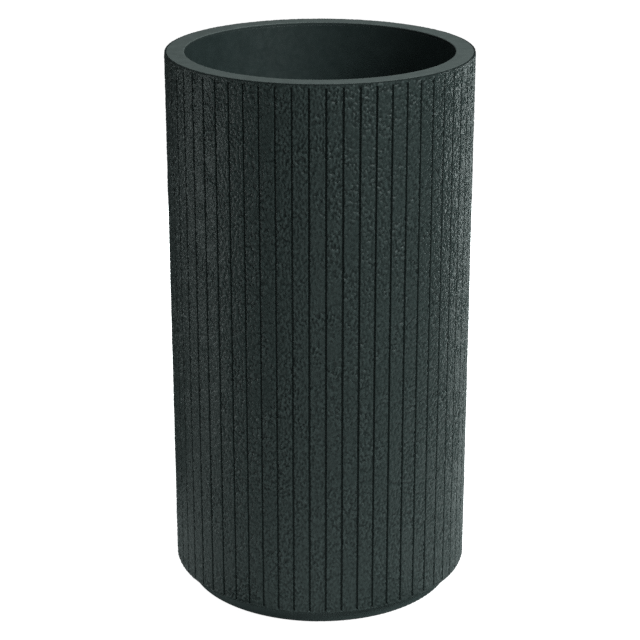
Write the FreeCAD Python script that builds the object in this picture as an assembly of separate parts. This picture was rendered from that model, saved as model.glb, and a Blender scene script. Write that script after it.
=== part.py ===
import FreeCAD, Part
import math
import os

# Tall round floor planter with a twin-wall laminate body.
# Millimetres, +Z up. Origin: centre of the footprint, on the floor.
# The side towards -Y is the front.

V = FreeCAD.Vector
os.makedirs("parts", exist_ok=True)

# ---------------------------------------------------------------- driving dimensions
R_OUT = 190.5          # outer radius of wall and rim (381 mm across)
H_TOTAL = 700.0        # floor to rim top
PAD_H = 2.0            # rubber pads under the plinth
PLINTH_R = 172.9       # recessed kick ring, outside
PLINTH_RI = 143.0      # and inside
BODY_Z0 = 24.0         # lower edge of the grooved wall
SHELL_T = 7.0          # outer laminate
FLANGE_T = 6.0         # its bottom flange
FLANGE_RI = 150.0
EDGE_R = 2.0           # round of the lower edge

# the rim cap lies in a rebate in the shell's top, inside a thin lip,
# with a fine joint line round it
CAP_T = 4.0
CAP_Z0 = H_TOTAL - CAP_T
CAP_RO = 188.4
LIP_RI = 189.0
LIP_TOP = H_TOTAL - 0.2

GROOVES = 60           # every 6 degrees
GROOVE_FIRST = 3.0     # degrees from the front
GROOVE_W = 2.6         # at the wall surface
GROOVE_W_FLOOR = 2.1
GROOVE_D = 3.0
GROOVE_Z0 = BODY_Z0 + 2.0
GROOVE_Z1 = H_TOTAL - 4.7   # square ends, below a plain band

LINER_RI = 166.5       # bore of the planting space
LINER_T = 4.5
LINER_FLOOR_T = 4.0
RIM_IN_ROUND = 1.2     # small round on the rim's inner edge
BOND = 0.3             # adhesive gap between curved faces

BASE_T = 8.0           # base plate
BASE_Z0 = BODY_Z0 + FLANGE_T
LINER_Z0 = BASE_Z0 + BASE_T

TONGUE_H = 20.0        # the rim's bonding tongue, between shell and liner

HOOP_H = 12.0          # stiffener hoops
HOOP_Z = (240.0, 455.0)

DRAIN_R = 14.0         # bore of the drain collar
COLLAR_T = 2.5
COLLAR_FLANGE_R = 27.0
COLLAR_FLANGE_T = 3.0

SHELF_R = 164.0        # planting shelf
SHELF_TOP = 420.0
SHELF_T = 8.0
FINGER_R = 14.0
FINGER_X = 95.0

CLEAT_W = 44.0         # along the wall
CLEAT_IN = 13.0        # into the bore
CLEAT_H = 30.0

PADS = 6
PAD_R = 11.0
PAD_PITCH_R = 158.0
SCREWS = 6
SCREW_R = 2.5
SCREW_HEAD_R = 4.8
SCREW_HEAD_H = 3.2
SCREW_TIP_Z = BASE_Z0 + 6.5


# ---------------------------------------------------------------- helpers
def rounded_profile(corners):
    """A closed outline in the XZ plane from (r, z, round) corners, as a face."""
    n = len(corners)
    ends = []
    for i, (x, z, rad) in enumerate(corners):
        p = V(x, 0, z)
        a = V(*[corners[i - 1][0], 0, corners[i - 1][1]])
        b = V(*[corners[(i + 1) % n][0], 0, corners[(i + 1) % n][1]])
        if rad <= 0:
            ends.append((p, None, p))
            continue
        u = (a - p).normalize()
        w = (b - p).normalize()
        half = 0.5 * u.getAngle(w)
        t = rad / math.tan(half)
        bis = (u + w).normalize()
        centre = p + bis * (rad / math.sin(half))
        mid = centre - bis * rad
        ends.append((p + u * t, mid, p + w * t))
    edges = []
    for i in range(n):
        start, mid, stop = ends[i]
        if mid is not None:
            edges.append(Part.Arc(start, mid, stop).toShape())
        nxt = ends[(i + 1) % n][0]
        if (nxt - stop).Length > 1e-6:
            edges.append(Part.LineSegment(stop, nxt).toShape())
    return Part.Face(Part.Wire(edges))


def turned(corners):
    """The solid of revolution of a profile about Z."""
    return rounded_profile(corners).revolve(V(0, 0, 0), V(0, 0, 1), 360)


def ring(r_out, r_in, z0, z1):
    return turned([(r_in, z0, 0), (r_out, z0, 0), (r_out, z1, 0), (r_in, z1, 0)])


def rod(r, z0, z1, x=0.0, y=0.0):
    return Part.makeCylinder(r, z1 - z0, V(x, y, z0), V(0, 0, 1))


def polar(radius, degrees):
    """A point at an angle counted from the front (-Y) towards +X."""
    t = math.radians(degrees)
    return radius * math.sin(t), -radius * math.cos(t)


def turn_z(shape, degrees):
    s = shape.copy()
    s.rotate(V(0, 0, 0), V(0, 0, 1), degrees)
    return s


def save(shape, name):
    solids = shape.Solids
    if not solids:
        raise SystemExit(name + " has no solid")
    for s in solids:
        if not s.isValid() or s.Volume <= 0:
            raise SystemExit(name + " has a bad solid")
    out = solids[0] if len(solids) == 1 else Part.makeCompound(solids)
    out.exportStep("parts/" + name + ".step")
    b = out.BoundBox
    print(
        "%-16s solids %2d  volume %9.1f cm3  z %.2f..%.2f  x %.2f..%.2f"
        % (name, len(solids), out.Volume / 1000.0, b.ZMin, b.ZMax, b.XMin, b.XMax)
    )


# ---------------------------------------------------------------- outer shell
shell = turned(
    [
        (FLANGE_RI, BODY_Z0, 0),
        (R_OUT, BODY_Z0, EDGE_R),
        (R_OUT, LIP_TOP, 0.7),
        (LIP_RI, LIP_TOP, 0.4),
        (LIP_RI, CAP_Z0, 0),
        (R_OUT - SHELL_T, CAP_Z0, 0),
        (R_OUT - SHELL_T, BASE_Z0, 0),
        (FLANGE_RI, BASE_Z0, 0),
    ]
)
# one groove, cut at the front (-Y): a slightly tapered slot with square ends
over = 3.0
spread = (GROOVE_W - GROOVE_W_FLOOR) / 2.0 / GROOVE_D
w_floor = GROOVE_W_FLOOR / 2.0
w_over = w_floor + spread * (GROOVE_D + over)
outline = [
    V(-w_floor, -(R_OUT - GROOVE_D), GROOVE_Z0),
    V(w_floor, -(R_OUT - GROOVE_D), GROOVE_Z0),
    V(w_over, -(R_OUT + over), GROOVE_Z0),
    V(-w_over, -(R_OUT + over), GROOVE_Z0),
]
one = Part.Face(Part.makePolygon(outline + [outline[0]])).extrude(
    V(0, 0, GROOVE_Z1 - GROOVE_Z0)
)
cutters = [
    turn_z(one, GROOVE_FIRST + i * 360.0 / GROOVES) for i in range(GROOVES)
]
shell = shell.cut(Part.makeCompound(cutters))

# ---------------------------------------------------------------- plinth, its screws and pads
screw_at = [polar(PAD_PITCH_R, i * 360.0 / SCREWS) for i in range(SCREWS)]
pad_at = [polar(PAD_PITCH_R, (i + 0.5) * 360.0 / PADS) for i in range(PADS)]

plinth = turned(
    [
        (PLINTH_RI, PAD_H, 1.5),
        (PLINTH_R, PAD_H, 1.5),
        (PLINTH_R, BODY_Z0, 0),
        (PLINTH_RI, BODY_Z0, 0),
    ]
)
HEAD_Z = PAD_H + 3.0
plinth = plinth.cut(
    Part.makeCompound(
        [rod(SCREW_R + 0.3, 0.0, BODY_Z0 + 1, x, y) for x, y in screw_at]
    )
)
plinth = plinth.cut(
    Part.makeCompound(
        [
            rod(SCREW_HEAD_R + 1.0, 0.0, HEAD_Z + SCREW_HEAD_H, x, y)
            for x, y in screw_at
        ]
    )
)
shell = shell.cut(
    Part.makeCompound(
        [rod(SCREW_R + 0.3, BODY_Z0 - 1, BASE_Z0 + 1, x, y) for x, y in screw_at]
    )
)

screws = []
for x, y in screw_at:
    # dome head with a hexagon socket, shank up into the base plate
    body = turned(
        [
            (0, HEAD_Z, 0),
            (SCREW_HEAD_R, HEAD_Z, 1.6),
            (SCREW_HEAD_R, HEAD_Z + SCREW_HEAD_H, 0),
            (SCREW_R, HEAD_Z + SCREW_HEAD_H, 0),
            (SCREW_R, SCREW_TIP_Z - 1.0, 0),
            (SCREW_R - 1.0, SCREW_TIP_Z, 0),
            (0, SCREW_TIP_Z, 0),
        ]
    )
    hexa = [
        V(1.73 * math.cos(k * math.pi / 3), 1.73 * math.sin(k * math.pi / 3), HEAD_Z - 1)
        for k in range(6)
    ]
    socket = Part.Face(Part.makePolygon(hexa + [hexa[0]])).extrude(V(0, 0, 2.8))
    body = body.cut(socket)
    body.translate(V(x, y, 0))
    screws.append(body)

pads = []
for x, y in pad_at:
    pad = turned(
        [(0, 0, 0), (PAD_R, 0, 0.6), (PAD_R, PAD_H, 0), (0, PAD_H, 0)]
    )
    pad.translate(V(x, y, 0))
    pads.append(pad)

# ---------------------------------------------------------------- base plate
COLLAR_R = DRAIN_R + COLLAR_T
base = ring(R_OUT - SHELL_T - BOND, COLLAR_R + BOND, BASE_Z0, LINER_Z0)
base = base.cut(
    Part.makeCompound(
        [rod(SCREW_R + 0.1, BASE_Z0 - 1, SCREW_TIP_Z + 0.3, x, y) for x, y in screw_at]
    )
)

# ---------------------------------------------------------------- inner liner
FLOOR_Z = LINER_Z0 + LINER_FLOOR_T
liner = turned(
    [
        (COLLAR_R + BOND, LINER_Z0, 0),
        (LINER_RI + LINER_T, LINER_Z0, 14.0 + LINER_T),
        (LINER_RI + LINER_T, CAP_Z0, 0),
        (LINER_RI, CAP_Z0, 0),
        (LINER_RI, FLOOR_Z, 14.0),
        (COLLAR_R + BOND, FLOOR_Z, 0),
    ]
)

# ---------------------------------------------------------------- stiffener hoops
hoops = [
    ring(R_OUT - SHELL_T - BOND, LINER_RI + LINER_T + BOND, z, z + HOOP_H)
    for z in HOOP_Z
]

# ---------------------------------------------------------------- rim ring
rim = turned(
    [
        (LINER_RI, CAP_Z0, 0),
        (LINER_RI + LINER_T + BOND, CAP_Z0, 0),
        (LINER_RI + LINER_T + BOND, CAP_Z0 - TONGUE_H, 1.0),
        (R_OUT - SHELL_T - BOND, CAP_Z0 - TONGUE_H, 1.0),
        (R_OUT - SHELL_T - BOND, CAP_Z0, 0),
        (CAP_RO, CAP_Z0, 0),
        (CAP_RO, H_TOTAL, 0.4),
        (LINER_RI, H_TOTAL, RIM_IN_ROUND),
    ]
)

# ---------------------------------------------------------------- drain collar and plug
collar = turned(
    [
        (DRAIN_R, BASE_Z0, 0),
        (COLLAR_R, BASE_Z0, 0),
        (COLLAR_R, FLOOR_Z, 0),
        (COLLAR_FLANGE_R, FLOOR_Z, 0),
        (COLLAR_FLANGE_R, FLOOR_Z + COLLAR_FLANGE_T, 1.4),
        (DRAIN_R, FLOOR_Z + COLLAR_FLANGE_T, 0.8),
    ]
)
COLLAR_TOP = FLOOR_Z + COLLAR_FLANGE_T
PLUG_GAP = 0.05        # running fit in the collar's bore
PLUG_HEAD_Z = COLLAR_TOP + 0.05
plug = turned(
    [
        (0, BASE_Z0 + 1.0, 0),
        (DRAIN_R - 1.6, BASE_Z0 + 1.0, 1.0),
        (DRAIN_R - PLUG_GAP, BASE_Z0 + 9.0, 0),
        (DRAIN_R - PLUG_GAP, PLUG_HEAD_Z, 0),
        (21.0, PLUG_HEAD_Z, 0),
        (21.0, PLUG_HEAD_Z + 4.0, 1.8),
        (5.5, PLUG_HEAD_Z + 4.0, 2.0),
        (5.5, PLUG_HEAD_Z + 13.0, 2.0),
        (11.0, PLUG_HEAD_Z + 13.0, 1.2),
        (11.0, PLUG_HEAD_Z + 19.0, 2.4),
        (0, PLUG_HEAD_Z + 19.0, 0),
    ]
)

# ---------------------------------------------------------------- shelf cleats
S0 = SHELF_TOP - SHELF_T
CLEAT_TOP = S0 - 0.05
cleats = []
for deg in (0, 90, 180, 270):
    # a block that narrows downwards, its back following the wall
    r0 = LINER_RI - CLEAT_IN
    side = [
        V(0, -(LINER_RI + 4), CLEAT_TOP - CLEAT_H),
        V(0, -(LINER_RI - 3.0), CLEAT_TOP - CLEAT_H),
        V(0, -r0, CLEAT_TOP - 12.0),
        V(0, -r0, CLEAT_TOP),
        V(0, -(LINER_RI + 4), CLEAT_TOP),
    ]
    block = Part.Face(Part.makePolygon(side + [side[0]])).extrude(V(CLEAT_W, 0, 0))
    block.translate(V(-CLEAT_W / 2.0, 0, 0))
    keep = rod(LINER_RI - BOND, CLEAT_TOP - CLEAT_H - 1, CLEAT_TOP + 1)
    cleats.append(turn_z(block.common(keep).Solids[0], deg))

# ---------------------------------------------------------------- planting shelf
shelf = turned(
    [(0, S0, 0), (SHELF_R, S0, 1.0), (SHELF_R, SHELF_TOP, 1.8), (0, SHELF_TOP, 0)]
)


def eased_hole(r, ease, x, y):
    """A through hole in the shelf with chamfered mouths, as one cutter."""
    return turned(
        [
            (0, S0 - 1, 0),
            (r + ease + 1, S0 - 1, 0),
            (r, S0 + ease, 0),
            (r, SHELF_TOP - ease, 0),
            (r + ease + 1, SHELF_TOP + 1, 0),
            (0, SHELF_TOP + 1, 0),
        ]
    ).translated(V(x, y, 0))


holes = []
for count, radius, first, r in (
    (8, 70.0, 22.5, 5.0),
    (16, 118.0, 0.0, 5.0),
    (24, 146.0, 7.5, 4.0),
    (4, 14.0, 45.0, 4.0),
    (8, 42.0, 0.0, 4.0),
):
    for i in range(count):
        x, y = polar(radius, first + i * 360.0 / count)
        holes.append(eased_hole(r, 0.6, x, y))
for sx in (-1, 1):
    holes.append(eased_hole(FINGER_R, 1.6, sx * FINGER_X, 0))
shelf = shelf.cut(Part.makeCompound(holes))

# ---------------------------------------------------------------- write the pieces
save(shell, "outer_shell")
save(rim, "rim_ring")
save(liner, "inner_liner")
save(Part.makeCompound(hoops), "stiffener_hoops")
save(base, "base_plate")
save(plinth, "plinth_ring")
save(Part.makeCompound(screws), "plinth_screws")
save(Part.makeCompound(pads), "foot_pads")
save(collar, "drain_collar")
save(plug, "drain_plug")
save(Part.makeCompound(cleats), "shelf_cleats")
save(shelf, "insert_shelf")
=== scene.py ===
import math

import bpy
import numpy as np
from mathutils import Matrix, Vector


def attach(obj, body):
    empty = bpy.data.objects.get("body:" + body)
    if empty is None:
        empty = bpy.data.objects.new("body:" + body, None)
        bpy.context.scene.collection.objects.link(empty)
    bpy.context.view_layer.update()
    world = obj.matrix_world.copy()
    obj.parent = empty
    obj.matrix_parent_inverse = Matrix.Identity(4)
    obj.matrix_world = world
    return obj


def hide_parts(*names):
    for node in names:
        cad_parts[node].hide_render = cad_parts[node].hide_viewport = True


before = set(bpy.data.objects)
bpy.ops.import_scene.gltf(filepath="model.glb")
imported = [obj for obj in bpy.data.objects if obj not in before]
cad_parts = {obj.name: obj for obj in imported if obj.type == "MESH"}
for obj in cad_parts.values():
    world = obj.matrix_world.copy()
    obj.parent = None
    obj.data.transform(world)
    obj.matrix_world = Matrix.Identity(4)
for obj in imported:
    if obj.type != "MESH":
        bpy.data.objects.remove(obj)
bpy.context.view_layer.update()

TAU = 2 * math.pi
MM = 0.001

# ---------------------------------------------------------------- dimensions (mm, as in the CAD)
R_OUT = 190.5            # wall, outside
R_IN = 183.5             # wall, inside
R_FLANGE = 150.0         # inner edge of the bottom flange
Z_SHELL = 24.0           # underside of the wall
Z_FLANGE = 30.0
Z_CAP = 696.0            # floor of the rebate the rim cap sits in
Z_LIP = 699.8
Z_TOP = 700.0
R_LIP = 189.0            # inside of the thin lip
R_CAP = 188.4            # outside of the rim cap
R_CAP_IN = 166.5
GROOVES = 60
GROOVE_PHASE = 3.0       # degrees from -Y
GROOVE_Z0, GROOVE_Z1 = 26.0, 695.3
GROOVE_DEPTH = 3.0
PITCH = TAU * R_OUT / GROOVES

FLOOR_SHOWN = 0.965      # how white the floor looks where no panel lights it
TINT = (0.905, 1.028, 1.012)   # the slightly cool light of the studio
AMBIENT, FLOOR_LIT = 0.02, 0.02   # what the studio and its floor send back to the planter, apart from the panels and cards

rng = np.random.default_rng(20260)

# ---------------------------------------------------------------- camera
CAM_AZ = 0.9             # degrees to the right of -Y
CAM_DIST, CAM_Z, CAM_PITCH = 2.3562, 1.2042, 20.015
cam_data = bpy.data.cameras.new("camera")
cam_data.lens = 109.4000
cam_data.sensor_width = 36.0
cam_data.clip_start, cam_data.clip_end = 0.05, 100.0
cam = bpy.data.objects.new("camera", cam_data)
a = math.radians(CAM_AZ)
cam.location = (CAM_DIST * math.sin(a), -CAM_DIST * math.cos(a), CAM_Z)
cam.rotation_euler = (math.radians(90 - CAM_PITCH), 0, a)
bpy.context.scene.collection.objects.link(cam)
bpy.context.scene.camera = cam


# ---------------------------------------------------------------- node helpers
def material(name):
    m = bpy.data.materials.new(name)
    m.use_nodes = True
    m.node_tree.nodes.clear()
    out = m.node_tree.nodes.new("ShaderNodeOutputMaterial")
    bsdf = m.node_tree.nodes.new("ShaderNodeBsdfPrincipled")
    m.node_tree.links.new(bsdf.outputs[0], out.inputs[0])
    return m, bsdf


def node(m, kind, **values):
    n = m.node_tree.nodes.new(kind)
    for k, v in values.items():
        if k in ("operation", "blend_type", "data_type", "noise_dimensions", "feature", "attribute_name", "interpolation_type", "clamp", "distance_metric", "voronoi_dimensions", "invert", "wave_type", "bands_direction", "noise_type"):
            setattr(n, k, v)
        else:
            n.inputs[k.replace("_", " ")].default_value = v
    return n


def link(m, a, b):
    m.node_tree.links.new(a, b)


def coords(m):
    return m.node_tree.nodes.new("ShaderNodeTexCoord").outputs["Object"]


def noise(m, scale, detail=3.0, rough=0.5, distortion=0.0, vector=None):
    n = node(m, "ShaderNodeTexNoise")
    n.inputs["Scale"].default_value = scale
    n.inputs["Detail"].default_value = detail
    n.inputs["Roughness"].default_value = rough
    n.inputs["Distortion"].default_value = distortion
    link(m, vector if vector is not None else coords(m), n.inputs["Vector"])
    return n.outputs["Fac"]


def remap(m, value, a0, a1, b0, b1, smooth=True):
    n = node(m, "ShaderNodeMapRange")
    n.interpolation_type = "SMOOTHSTEP" if smooth else "LINEAR"
    link(m, value, n.inputs["Value"])
    n.inputs["From Min"].default_value = a0
    n.inputs["From Max"].default_value = a1
    n.inputs["To Min"].default_value = b0
    n.inputs["To Max"].default_value = b1
    return n.outputs["Result"]


def math2(m, op, x, y):
    n = node(m, "ShaderNodeMath")
    n.operation = op
    for i, v in enumerate((x, y)):
        if isinstance(v, (int, float)):
            n.inputs[i].default_value = v
        else:
            link(m, v, n.inputs[i])
    return n.outputs[0]


def mix(m, fac, c0, c1, blend="MIX"):
    n = node(m, "ShaderNodeMix")
    n.data_type = "RGBA"
    n.blend_type = blend
    if isinstance(fac, (int, float)):
        n.inputs["Factor"].default_value = fac
    else:
        link(m, fac, n.inputs["Factor"])
    for i, c in ((6, c0), (7, c1)):
        if isinstance(c, tuple):
            n.inputs[i].default_value = (*c, 1)
        else:
            link(m, c, n.inputs[i])
    return n.outputs[2]


def bump(m, height, strength, distance, normal=None):
    n = node(m, "ShaderNodeBump")
    n.inputs["Strength"].default_value = strength
    n.inputs["Distance"].default_value = distance
    link(m, height, n.inputs["Height"])
    if normal is not None:
        link(m, normal, n.inputs["Normal"])
    return n.outputs["Normal"]


def attribute(m, name):
    n = node(m, "ShaderNodeAttribute")
    n.attribute_name = name
    return n.outputs["Fac"]


# ---------------------------------------------------------------- materials
def gelcoat_textured():
    m, b = material("gelcoat_textured")
    relief = attribute(m, "relief")
    mottle = remap(m, noise(m, 38, 4, 0.6), 0.3, 0.7, 0, 1)
    speck = remap(m, noise(m, 900, 2, 0.5), 0.35, 0.7, 0, 1)
    c = mix(m, mottle, (0.0335, 0.0470, 0.0452), (0.0400, 0.0552, 0.0530))
    c = mix(m, math2(m, "MULTIPLY", speck, 0.35), c, (0.0440, 0.0625, 0.0600))
    # the pits of the relief are painted darker, partly dust and partly painted shade, and its tops are painted paler as
    # a painted highlight
    c = mix(m, remap(m, relief, -2.0, 0.3, 1.0, 0.0), c, (0.0130, 0.0208, 0.0200))
    c = mix(m, remap(m, relief, 0.2, 2.0, 0.0, 0.90), c, (0.0620, 0.0830, 0.0805))
    r = remap(m, noise(m, 160, 3, 0.6), 0.3, 0.7, 0.38, 0.48)
    # deep in the grooves and along the trimmed top edge the coat is painted darker and made duller: painted shade in
    # the grooves, partly dirt, and a painted shadow line along the top edge
    shade = attribute(m, "shade")
    c = mix(m, shade, c, (0.0110, 0.0185, 0.0180))
    r = math2(m, "ADD", r, math2(m, "MULTIPLY", shade, 0.35))
    link(m, c, b.inputs["Base Color"])
    link(m, r, b.inputs["Roughness"])
    b.inputs["IOR"].default_value = 1.5
    b.inputs["Specular IOR Level"].default_value = 0.385
    h = noise(m, 430, 3, 0.6)
    link(m, bump(m, h, 0.75, 0.0006), b.inputs["Normal"])
    return m


def gelcoat_smooth():
    m, b = material("gelcoat_smooth")
    mottle = remap(m, noise(m, 70, 5, 0.62), 0.3, 0.7, 0, 1)
    c = mix(m, mottle, (0.1010, 0.1155, 0.1125), (0.1320, 0.1490, 0.1450))
    fine = remap(m, noise(m, 700, 2, 0.5), 0.3, 0.75, 0, 0.5)
    c = mix(m, fine, c, (0.1560, 0.1740, 0.1690))
    # below its rounded inner edge the cap is painted in the liner's darker colour, painted shade on its vertical inner
    # face
    sep = node(m, "ShaderNodeSeparateXYZ")
    link(m, coords(m), sep.inputs[0])
    c = mix(m, remap(m, sep.outputs["Z"], 0.6984, 0.6993, 0.92, 0.0), c, (0.0345, 0.0480, 0.0472))
    link(m, c, b.inputs["Base Color"])
    link(m, remap(m, noise(m, 220, 3, 0.6), 0.3, 0.7, 0.56, 0.68), b.inputs["Roughness"])
    b.inputs["IOR"].default_value = 1.5
    b.inputs["Specular IOR Level"].default_value = 0.32
    n = bump(m, noise(m, 900, 3, 0.55), 0.16, 0.0002)
    n = bump(m, noise(m, 95, 2, 0.5), 0.12, 0.0009, n)
    link(m, n, b.inputs["Normal"])
    return m


def gelcoat_liner():
    m, b = material("gelcoat_liner")
    mottle = remap(m, noise(m, 55, 5, 0.6), 0.3, 0.7, 0, 1)
    c = mix(m, mottle, (0.0338, 0.0475, 0.0468), (0.0422, 0.0578, 0.0572))
    link(m, c, b.inputs["Base Color"])
    link(m, remap(m, noise(m, 140, 3, 0.6), 0.3, 0.7, 0.34, 0.44), b.inputs["Roughness"])
    b.inputs["IOR"].default_value = 1.5
    b.inputs["Specular IOR Level"].default_value = 0.75
    n = bump(m, noise(m, 800, 3, 0.55), 0.12, 0.0002)
    n = bump(m, noise(m, 60, 2, 0.5), 0.12, 0.0012, n)
    link(m, n, b.inputs["Normal"])
    return m


def gelcoat_plinth():
    m, b = material("gelcoat_plinth")
    mottle = remap(m, noise(m, 60, 5, 0.6), 0.3, 0.7, 0, 1)
    c = mix(m, mottle, (0.0900, 0.1200, 0.1180), (0.1100, 0.1430, 0.1400))
    # scuffs low on the kick ring, where it meets the floor
    sep = node(m, "ShaderNodeSeparateXYZ")
    link(m, coords(m), sep.inputs[0])
    low = remap(m, sep.outputs["Z"], 0.0015, 0.0100, 1, 0)
    scuff = math2(m, "MULTIPLY", low, remap(m, noise(m, 240, 4, 0.7), 0.52, 0.68, 0, 0.5))
    c = mix(m, scuff, c, (0.1500, 0.1800, 0.1760))
    link(m, c, b.inputs["Base Color"])
    link(m, remap(m, noise(m, 150, 3, 0.6), 0.3, 0.7, 0.44, 0.56), b.inputs["Roughness"])
    b.inputs["IOR"].default_value = 1.5
    n = bump(m, noise(m, 800, 3, 0.55), 0.14, 0.0002)
    n = bump(m, noise(m, 80, 2, 0.5), 0.12, 0.0010, n)
    link(m, n, b.inputs["Normal"])
    return m


def raw_laminate():
    m, b = material("raw_laminate")
    co = coords(m)
    # chopped strands: thin stretched noise in several directions, layered
    strands = None
    for k, turn in enumerate((0.0, 0.65, 1.35, 2.1, 2.7)):
        mp = node(m, "ShaderNodeMapping")
        mp.inputs["Rotation"].default_value = (0.3 * k, 0.2 * k, turn)
        mp.inputs["Scale"].default_value = (1.0, 14.0, 14.0)
        mp.inputs["Location"].default_value = (0.37 * k, 0.11 * k, 0.0)
        link(m, co, mp.inputs["Vector"])
        s = remap(m, noise(m, 55, 2, 0.5, 0.2, mp.outputs[0]), 0.56, 0.66, 0, 1)
        strands = s if strands is None else math2(m, "MAXIMUM", strands, s)
    mottle = remap(m, noise(m, 30, 4, 0.6), 0.3, 0.7, 0, 1)
    c = mix(m, mottle, (0.060, 0.066, 0.058), (0.085, 0.092, 0.080))
    c = mix(m, math2(m, "MULTIPLY", strands, 0.55), c, (0.150, 0.158, 0.140))
    link(m, c, b.inputs["Base Color"])
    link(m, remap(m, noise(m, 120, 3, 0.6), 0.3, 0.7, 0.32, 0.52), b.inputs["Roughness"])
    b.inputs["IOR"].default_value = 1.52
    n = bump(m, strands, 0.5, 0.0004)
    n = bump(m, noise(m, 180, 4, 0.6), 0.4, 0.0006, n)
    link(m, n, b.inputs["Normal"])
    return m


def black_rubber():
    m, b = material("black_rubber")
    mottle = remap(m, noise(m, 120, 5, 0.65), 0.3, 0.7, 0, 1)
    c = mix(m, mottle, (0.0120, 0.0120, 0.0122), (0.0200, 0.0200, 0.0200))
    dust = remap(m, noise(m, 600, 3, 0.6), 0.58, 0.74, 0, 0.3)
    c = mix(m, dust, c, (0.060, 0.060, 0.058))
    link(m, c, b.inputs["Base Color"])
    link(m, remap(m, noise(m, 300, 3, 0.6), 0.3, 0.7, 0.62, 0.82), b.inputs["Roughness"])
    b.inputs["IOR"].default_value = 1.5
    link(m, bump(m, noise(m, 1100, 3, 0.6), 0.35, 0.00025), b.inputs["Normal"])
    return m


def shelf_plastic():
    m, b = material("shelf_plastic")
    mottle = remap(m, noise(m, 45, 4, 0.6), 0.3, 0.7, 0, 1)
    c = mix(m, mottle, (0.0200, 0.0212, 0.0214), (0.0262, 0.0276, 0.0278))
    scuff = remap(m, noise(m, 320, 4, 0.7, 0.6), 0.60, 0.72, 0, 0.35)
    c = mix(m, scuff, c, (0.055, 0.057, 0.057))
    link(m, c, b.inputs["Base Color"])
    link(m, remap(m, noise(m, 200, 3, 0.6), 0.3, 0.7, 0.40, 0.55), b.inputs["Roughness"])
    b.inputs["IOR"].default_value = 1.49
    # the fine spark-eroded grain of an injection-moulded face
    v = node(m, "ShaderNodeTexVoronoi")
    v.inputs["Scale"].default_value = 900
    link(m, coords(m), v.inputs["Vector"])
    n = bump(m, v.outputs["Distance"], 0.30, 0.00022)
    link(m, n, b.inputs["Normal"])
    return m


def zinc_steel():
    m, b = material("zinc_steel")
    mottle = remap(m, noise(m, 260, 5, 0.65), 0.3, 0.7, 0, 1)
    c = mix(m, mottle, (0.46, 0.47, 0.46), (0.60, 0.60, 0.57))
    dull = remap(m, noise(m, 700, 3, 0.6), 0.56, 0.72, 0, 0.6)
    c = mix(m, dull, c, (0.34, 0.34, 0.32))
    link(m, c, b.inputs["Base Color"])
    b.inputs["Metallic"].default_value = 1.0
    link(m, remap(m, noise(m, 420, 3, 0.6), 0.3, 0.7, 0.26, 0.44), b.inputs["Roughness"])
    link(m, bump(m, noise(m, 1500, 3, 0.6), 0.22, 0.00015), b.inputs["Normal"])
    return m


MATS = {
    "textured_gelcoat": gelcoat_textured(),
    "smooth_gelcoat": gelcoat_smooth(),
    "liner_gelcoat": gelcoat_liner(),
    "plinth_gelcoat": gelcoat_plinth(),
    "raw_laminate": raw_laminate(),
    "black_rubber": black_rubber(),
    "shelf_plastic": shelf_plastic(),
    "zinc_steel": zinc_steel(),
}


def assign(obj, slot):
    obj.data.materials.clear()
    obj.data.materials.append(MATS[slot])


# ---------------------------------------------------------------- mesh helpers
def grid_piece(name, P, vs, us=None):
    """A closed surface from a (rows, columns, 3) grid that wraps both ways. vs (rows + 1) and us (columns + 1) are its bake map."""
    rows, cols = P.shape[:2]
    r, c = np.meshgrid(np.arange(rows), np.arange(cols), indexing="ij")
    r1, c1 = (r + 1) % rows, (c + 1) % cols
    quads = np.stack([r * cols + c, r * cols + c1, r1 * cols + c1, r1 * cols + c], -1).reshape(-1, 4)
    # outward normals: the first row runs anticlockwise, so the profile has to run upward on the outside
    me = bpy.data.meshes.new(name)
    me.vertices.add(rows * cols)
    me.vertices.foreach_set("co", (P * MM).astype(np.float32).ravel())
    me.loops.add(quads.size)
    me.loops.foreach_set("vertex_index", quads.astype(np.int32).ravel())
    me.polygons.add(len(quads))
    me.polygons.foreach_set("loop_start", (np.arange(len(quads)) * 4).astype(np.int32))
    me.polygons.foreach_set("use_smooth", np.ones(len(quads), bool))
    me.update(calc_edges=True)
    us = np.linspace(0, 1, cols + 1) if us is None else us
    uv = np.empty((rows, cols, 4, 2), np.float32)
    uv[..., 0, 0], uv[..., 1, 0], uv[..., 2, 0], uv[..., 3, 0] = us[c], us[c + 1], us[c + 1], us[c]
    uv[..., 0, 1], uv[..., 1, 1], uv[..., 2, 1], uv[..., 3, 1] = vs[r], vs[r], vs[r + 1], vs[r + 1]
    layer = me.uv_layers.new(name="OFBake")
    layer.data.foreach_set("uv", uv.ravel())
    obj = bpy.data.objects.new(name, me)
    bpy.context.scene.collection.objects.link(obj)
    return obj


def arc(cx, cz, r, a0, a1, n):
    return [(cx + r * math.cos(math.radians(a0 + (a1 - a0) * i / n)), cz + r * math.sin(math.radians(a0 + (a1 - a0) * i / n))) for i in range(n + 1)]


def run(p, q, step, edge=0.25):
    """Points from p to q with close rows at both ends, so that smooth shading stays crisp at corners. Leaves out q."""
    p, q = np.array(p, float), np.array(q, float)
    length = float(np.hypot(*(q - p)))
    ts = [0.0]
    if length > 3 * edge:
        ts += [edge / length]
        n = max(1, int(round((length - 2 * edge) / step)))
        ts += [(edge + (length - 2 * edge) * i / n) / length for i in range(1, n)]
        ts += [1 - edge / length]
    return [tuple(p + (q - p) * t) for t in ts]


def v_of(profile, weight=None):
    p = np.array(profile)
    d = np.hypot(*(np.roll(p, -1, 0) - p).T)
    if weight is not None:
        d = d * weight
    return np.concatenate([[0], np.cumsum(d)]) / d.sum()


def lathe(name, profile, segments, wobble=0.0, phase=0.0):
    p = np.array(profile, float)
    t = TAU * (np.arange(segments) / segments) + phase
    P = np.empty((len(p), segments, 3))
    P[..., 0] = p[:, :1] * np.sin(t)[None]
    P[..., 1] = -p[:, :1] * np.cos(t)[None]
    P[..., 2] = p[:, 1:2]
    return grid_piece(name, P, v_of(profile))


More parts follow.
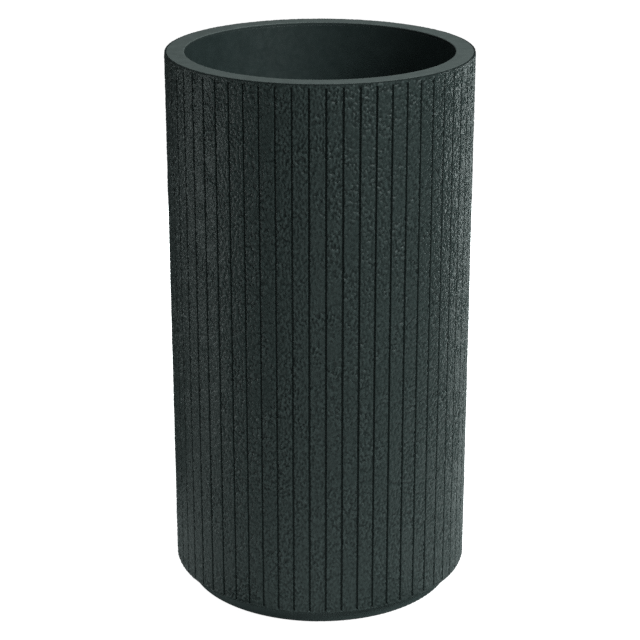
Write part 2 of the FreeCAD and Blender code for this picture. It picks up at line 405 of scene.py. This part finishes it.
# ---------------------------------------------------------------- the moulded relief of the wall
NT, NZ = 2048, 1216                      # about 0.58 mm a sample
LT, LZ = TAU * R_OUT, 704.0
kt = np.fft.fftfreq(NT, LT / NT)[None, :]
kz = np.fft.fftfreq(NZ, LZ / NZ)[:, None]
STRETCH = 1.4                            # the relief's features are a little longer than they are wide
KK = np.hypot(kt, kz * STRETCH)


def band(wavelength, width):
    """Smooth random field with that wavelength in mm, which repeats round the wall."""
    f = np.fft.fft2(rng.standard_normal((NZ, NT)))
    f *= np.exp(-0.5 * ((KK - 1 / wavelength) * wavelength / width) ** 2)
    f[0, 0] = 0
    g = np.fft.ifft2(f).real
    return g / g.std()


def low(wavelength):
    f = np.fft.fft2(rng.standard_normal((NZ, NT)))
    f *= np.exp(-0.5 * (KK * wavelength / 1.0) ** 2)
    f[0, 0] = 0
    g = np.fft.ifft2(f).real
    return g / g.std()


def step01(x, a, b):
    t = np.clip((x - a) / (b - a), 0, 1)
    return t * t * (3 - 2 * t)


def rough(longest, shortest, power):
    """Random field with every wavelength between those two, in mm, its height falling off with that power of the wavelength."""
    f = np.fft.fft2(rng.standard_normal((NZ, NT)))
    k = np.maximum(KK, 1e-6)
    f *= k ** -power * np.exp(-((k * shortest) ** 4)) * (1 - np.exp(-((k * longest) ** 4)))
    f[0, 0] = 0
    g = np.fft.ifft2(f).real
    return g / g.std()


def relief_field():
    stucco = rough(12.0, 2.3, 0.9) + 0.8 * band(4.2, 0.30)
    stucco /= stucco.std()
    lines = band(6.0, 0.30)
    worm = np.exp(-((lines / 0.26) ** 2)) * step01(band(9.0, 0.5), -0.2, 0.9)
    patch = 0.82 + 0.18 * np.clip(low(30.0), -1.8, 1.8)
    h = np.tanh(0.8 * stucco) - 0.50 * worm
    h = h * patch
    h -= h.mean()
    return h / h.std()


FIELD = relief_field()


def sample(field, theta, z):
    x = np.mod(theta, TAU) / TAU * NT
    y = np.mod(z, LZ) / LZ * NZ
    x0, y0 = np.floor(x).astype(int), np.floor(y).astype(int)
    fx, fy = x - x0, y - y0
    x0, x1 = x0 % NT, (x0 + 1) % NT
    y0, y1 = y0 % NZ, (y0 + 1) % NZ
    return (field[y0, x0] * (1 - fx) + field[y0, x1] * fx) * (1 - fy) + (field[y1, x0] * (1 - fx) + field[y1, x1] * fx) * fy


# ---------------------------------------------------------------- wall
RELIEF_MM = 0.35         # standard deviation of the relief's height
SIDE_MM = 0.12           # how far the groove edges wander, standard deviation


def wall_rows():
    """(r, z, relief share, outward r, outward z, groove share) along the closed profile, upward on the outside."""
    rows = []
    for r, z in arc(189.7, 24.8, 0.8, -90, 0, 5)[:-1]:
        s = (z - 24.0) / 0.8
        rows.append((r, z, 0.15 + 0.85 * s, 1.0, 0.0, 0.0))
    zs = [24.8, 25.5, 26.0, 26.35]
    n = int(round((694.9 - 26.9) / 1.0))
    zs += list(np.linspace(26.9, 694.7, n + 1))
    zs += [695.12, 695.42, 696.0, 697.0, 698.0, 698.8, 699.35]
    for z in zs:
        g = 1.0 if 26.3 <= z <= 695.2 else 0.0
        rows.append((R_OUT, z, 1.0 - 0.45 * max(0.0, min(1.0, (z - 696.5) / 2.85)), 1.0, 0.0, g))
    for r, z in arc(190.05, 699.35, 0.45, 0, 90, 4)[1:]:
        s = (z - 699.35) / 0.45
        rows.append((r, z, 0.55 - 0.30 * s, math.cos(s * 1.57), math.sin(s * 1.57), 0.0))
    rows.append((189.4, 699.8, 0.20, 0.0, 1.0, 0.0))
    for r, z in arc(189.4, 699.4, 0.4, 90, 180, 3)[1:]:
        rows.append((r, z, 0.10, 0.0, 1.0, 0.0))
    tail = run((189.0, 699.0), (189.0, 696.0), 1.5)[1:]
    tail += run((189.0, 696.0), (183.5, 696.0), 3.0)
    tail += run((183.5, 696.0), (183.5, 30.0), 80.0)
    tail += run((183.5, 30.0), (150.0, 30.0), 12.0)
    tail += run((150.0, 30.0), (150.0, 24.0), 3.0)
    tail += run((150.0, 24.0), (189.7, 24.0), 12.0)
    rows += [(r, z, 0.0, 0.0, 0.0, 0.0) for r, z in tail]
    return np.array(rows)


def wall():
    rows = wall_rows()
    # columns across one pitch, in mm from the groove's centre: floor, side, rounded edge, then the ridge
    side = [(0.0, 1.0), (1.05, 1.0), (1.22, 0.20), (1.34, 0.045), (1.62, 0.0)]
    ridge = np.linspace(1.62, PITCH - 1.62, 20)[1:-1]
    offs = [(x, d) for x, d in side] + [(x, 0.0) for x in ridge] + [(PITCH - x, d) for x, d in side[:0:-1]]
    offs = np.array(offs)
    cols = len(offs)
    k = np.repeat(np.arange(GROOVES), cols)
    x = np.tile(offs[:, 0], GROOVES)
    d = np.tile(offs[:, 1], GROOVES)
    theta0 = math.radians(GROOVE_PHASE) + TAU / GROOVES * k + x / R_OUT
    z = rows[:, 1][:, None]
    # the two edges of each groove wander a little, each on its own
    n_wander = 320
    zk = np.fft.fftfreq(n_wander, LZ / n_wander)
    spec = np.exp(-0.5 * (np.abs(zk) * 5.0) ** 2)
    w = np.fft.ifft(np.fft.fft(rng.standard_normal((GROOVES * 2, n_wander)), axis=1) * spec, axis=1).real
    w = w / w.std()
    zi = np.clip(rows[:, 1], 0, 703.9) / LZ * n_wander
    z0 = np.floor(zi).astype(int)
    fz = zi - z0
    wz = w[:, z0 % n_wander] * (1 - fz) + w[:, (z0 + 1) % n_wander] * fz      # (2 x grooves, rows)
    near_r = np.exp(-((x / 2.6) ** 2))              # just after groove k
    near_l = np.exp(-(((PITCH - x) / 2.6) ** 2))    # just before groove k + 1
    shift = wz[2 * k].T * near_r[None] + wz[(2 * k + 3) % (2 * GROOVES)].T * near_l[None]
    theta = theta0[None] + SIDE_MM * shift * rows[:, 2][:, None] / R_OUT
    h = sample(FIELD, theta0[None] + 0 * z, z + 0 * theta0[None])
    groove = rows[:, 5][:, None] * d[None]
    share = rows[:, 2][:, None] * (1 - 0.75 * groove)
    disp = RELIEF_MM * h * share
    rr = rows[:, 0][:, None] + disp * rows[:, 3][:, None] - GROOVE_DEPTH * groove
    zz = z + disp * rows[:, 4][:, None]
    P = np.stack([rr * np.sin(theta), -rr * np.cos(theta), zz + 0 * theta], -1)
    # bake map: the outside gets nearly all of the height, the hidden faces a thin strip
    prof = [(r, zc) for r, zc in rows[:, :2]]
    weight = np.where(rows[:, 2] > 0, 1.0, 0.06)
    obj = grid_piece("wall_grooved", P, v_of(prof, weight))
    att = obj.data.attributes.new("relief", "FLOAT", "POINT")
    att.data.foreach_set("value", (h * share).astype(np.float32).ravel())
    # the shade attribute marks painted shade on the groove floors and a painted shadow line along the top edge
    edge = step01(z + 0.35 * h, 698.3, 698.9) * (rows[:, 2][:, None] > 0)
    shade = np.clip(0.55 * groove * (d[None] > 0.5) + 0.95 * edge, 0, 1)
    att = obj.data.attributes.new("shade", "FLOAT", "POINT")
    att.data.foreach_set("value", shade.astype(np.float32).ravel())
    return obj


wall_obj = wall()
assign(wall_obj, "textured_gelcoat")
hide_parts("outer_shell")
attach(wall_obj, "planter")

# ---------------------------------------------------------------- rim cap, with its bonding tongue
prof = []
prof += run((R_CAP, Z_CAP), (R_CAP, 699.6), 1.2)
prof += arc(R_CAP - 0.4, 699.6, 0.4, 0, 90, 4)
prof += run((R_CAP - 0.4, Z_TOP), (R_CAP_IN + 1.2, Z_TOP), 2.4)[1:]
prof += arc(R_CAP_IN + 1.2, Z_TOP - 1.2, 1.2, 90, 180, 7)
prof += run((R_CAP_IN, Z_TOP - 1.2), (R_CAP_IN, Z_CAP), 1.0)[1:]
prof += run((R_CAP_IN, Z_CAP), (171.3, Z_CAP), 1.6)
prof += run((171.3, Z_CAP), (171.3, 676.0), 7.0)
prof += run((171.3, 676.0), (183.2, 676.0), 4.0)
prof += run((183.2, 676.0), (183.2, Z_CAP), 7.0)
prof += run((183.2, Z_CAP), (R_CAP, Z_CAP), 1.8)
rim_obj = lathe("rim_cap", prof, 768)
assign(rim_obj, "smooth_gelcoat")
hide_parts("rim_ring")
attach(rim_obj, "planter")

# ---------------------------------------------------------------- liner: a bucket with a drain hole
prof = []
prof += run((171.0, 38.0), (171.0, 696.0), 26.0)
prof += run((171.0, 696.0), (166.5, 696.0), 1.5)
prof += run((166.5, 696.0), (166.5, 56.0), 26.0)
prof += arc(152.5, 56.0, 14.0, 0, -90, 12)
prof += run((152.5, 42.0), (16.8, 42.0), 10.0)[1:]
prof += run((16.8, 42.0), (16.8, 38.0), 1.5)
prof += run((16.8, 38.0), (171.0, 38.0), 14.0)
liner_obj = lathe("liner", prof, 512)
assign(liner_obj, "liner_gelcoat")
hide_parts("inner_liner")
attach(liner_obj, "planter")

# ---------------------------------------------------------------- carried-over CAD nodes
for n, s in (
    ("plinth_ring", "plinth_gelcoat"),
    ("base_plate", "raw_laminate"),
    ("stiffener_hoops", "raw_laminate"),
    ("shelf_cleats", "raw_laminate"),
    ("foot_pads", "black_rubber"),
    ("drain_plug", "black_rubber"),
    ("drain_collar", "shelf_plastic"),
    ("insert_shelf", "shelf_plastic"),
    ("plinth_screws", "zinc_steel"),
):
    assign(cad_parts[n], s)

# ---------------------------------------------------------------- floor, light
me = bpy.data.meshes.new("floor")
me.from_pydata([(-12, -12, 0), (12, -12, 0), (12, 12, 0), (-12, 12, 0)], [], [(0, 1, 2, 3)])
floor = bpy.data.objects.new("floor", me)
bpy.context.scene.collection.objects.link(floor)


def shown_or_lit(tree, shown, lit, out):
    """The camera sees the plain white studio, and the planter gets the weaker light that the fit to the photograph asks for."""
    path = tree.nodes.new("ShaderNodeLightPath")
    both = tree.nodes.new("ShaderNodeMixShader")
    tree.links.new(path.outputs["Is Camera Ray"], both.inputs[0])
    tree.links.new(lit, both.inputs[1])
    tree.links.new(shown, both.inputs[2])
    tree.links.new(both.outputs[0], out)


def emission(tree, kind, strength):
    n = tree.nodes.new(kind)
    n.inputs["Color"].default_value = (1, 1, 1, 1)
    n.inputs["Strength"].default_value = strength
    return n.outputs[0]


m = bpy.data.materials.new("floor_white")
m.use_nodes = True
m.node_tree.nodes.clear()
out = m.node_tree.nodes.new("ShaderNodeOutputMaterial")
white = m.node_tree.nodes.new("ShaderNodeBsdfDiffuse")
white.inputs["Color"].default_value = (0.8, 0.8, 0.8, 1)
add = m.node_tree.nodes.new("ShaderNodeAddShader")
m.node_tree.links.new(emission(m.node_tree, "ShaderNodeEmission", FLOOR_SHOWN), add.inputs[0])
m.node_tree.links.new(white.outputs[0], add.inputs[1])
shown_or_lit(m.node_tree, add.outputs[0], emission(m.node_tree, "ShaderNodeEmission", FLOOR_LIT), out.inputs[0])
floor.data.materials.append(m)

world = bpy.data.worlds.new("studio")
bpy.context.scene.world = world
world.use_nodes = True
world.node_tree.nodes.clear()
out = world.node_tree.nodes.new("ShaderNodeOutputWorld")
shown_or_lit(world.node_tree, emission(world.node_tree, "ShaderNodeBackground", 1.0), emission(world.node_tree, "ShaderNodeBackground", AMBIENT), out.inputs[0])

# name, degrees to the right of the camera, distance, height, width, height of the panel, height aimed at, radiance
PANELS = (
    ("low_front", -3.0, 1.7, 0.22, 0.60, 0.42, 0.22, 2.00),
    ("low_right", 60.0, 1.7, 0.22, 0.60, 0.42, 0.22, 0.57),
    ("low_right_rear", 120.0, 1.7, 0.22, 0.60, 0.42, 0.22, 0.90),
    ("low_right_back", 125.0, 1.7, 0.22, 0.40, 0.42, 0.22, 6.20),
    ("low_left", -87.0, 1.7, 0.22, 0.60, 0.42, 0.22, 5.50),
    ("key", 40.0, 2.4, 1.95, 0.92, 1.10, 0.36, 7.90),
    ("key_right", 60.0, 2.4, 1.95, 0.92, 1.10, 0.36, 5.35),
    ("left_rear", -120.0, 2.4, 1.95, 0.92, 1.10, 0.36, 0.60),
)
# bright patches of the studio floor: name, degrees to the right of the camera, radiance
CARDS = (
    ("card_front", 0.0, 0.50),
    ("card_right", 70.0, 0.78),
    ("card_right_rear", 120.0, 1.20),
    ("card_left", -70.0, 0.45),
)


def area(name, width, height, radiance):
    d = bpy.data.lights.new(name, "AREA")
    d.shape = "RECTANGLE"
    d.size, d.size_y = width, height
    d.energy = radiance * width * height * math.pi
    d.color = TINT
    o = bpy.data.objects.new(name, d)
    o.visible_camera = False
    bpy.context.scene.collection.objects.link(o)
    return o


for name, az, dist, z, width, height, aim, radiance in PANELS:
    o = area(name, width, height, radiance)
    t = math.radians(az + CAM_AZ)
    o.location = (dist * math.sin(t), -dist * math.cos(t), z)
    o.rotation_mode = "QUATERNION"
    o.rotation_quaternion = (Vector((0, 0, aim)) - o.location).to_track_quat("-Z", "Y")
# a matte fill for the back of the wall, which the camera doesn't see; it stays below the rim
o = area("back_fill", 1.2, 0.6, 6.0)
o.visible_glossy = False
t = math.radians(180 + CAM_AZ)
o.location = (1.7 * math.sin(t), -1.7 * math.cos(t), 0.36)
o.rotation_euler = (math.pi / 2, 0, t)
o = area("overhead", 0.9, 0.9, 4.6)
o.location = (0.28, 0, 2.3)
for name, az, radiance in CARDS:
    o = area(name, 0.45, 1.25, radiance)
    t = math.radians(az + CAM_AZ)
    o.location = (0.825 * math.sin(t), -0.825 * math.cos(t), 0.004)
    o.rotation_euler = (math.pi, 0, t)

sc = bpy.context.scene
sc.cycles.use_denoising = False      # it would smear the relief, which is only a few pixels across
sc.view_settings.view_transform = "Standard"
sc.view_settings.look = "None"
sc.view_settings.exposure = 0.0
sc.view_settings.gamma = 1.0
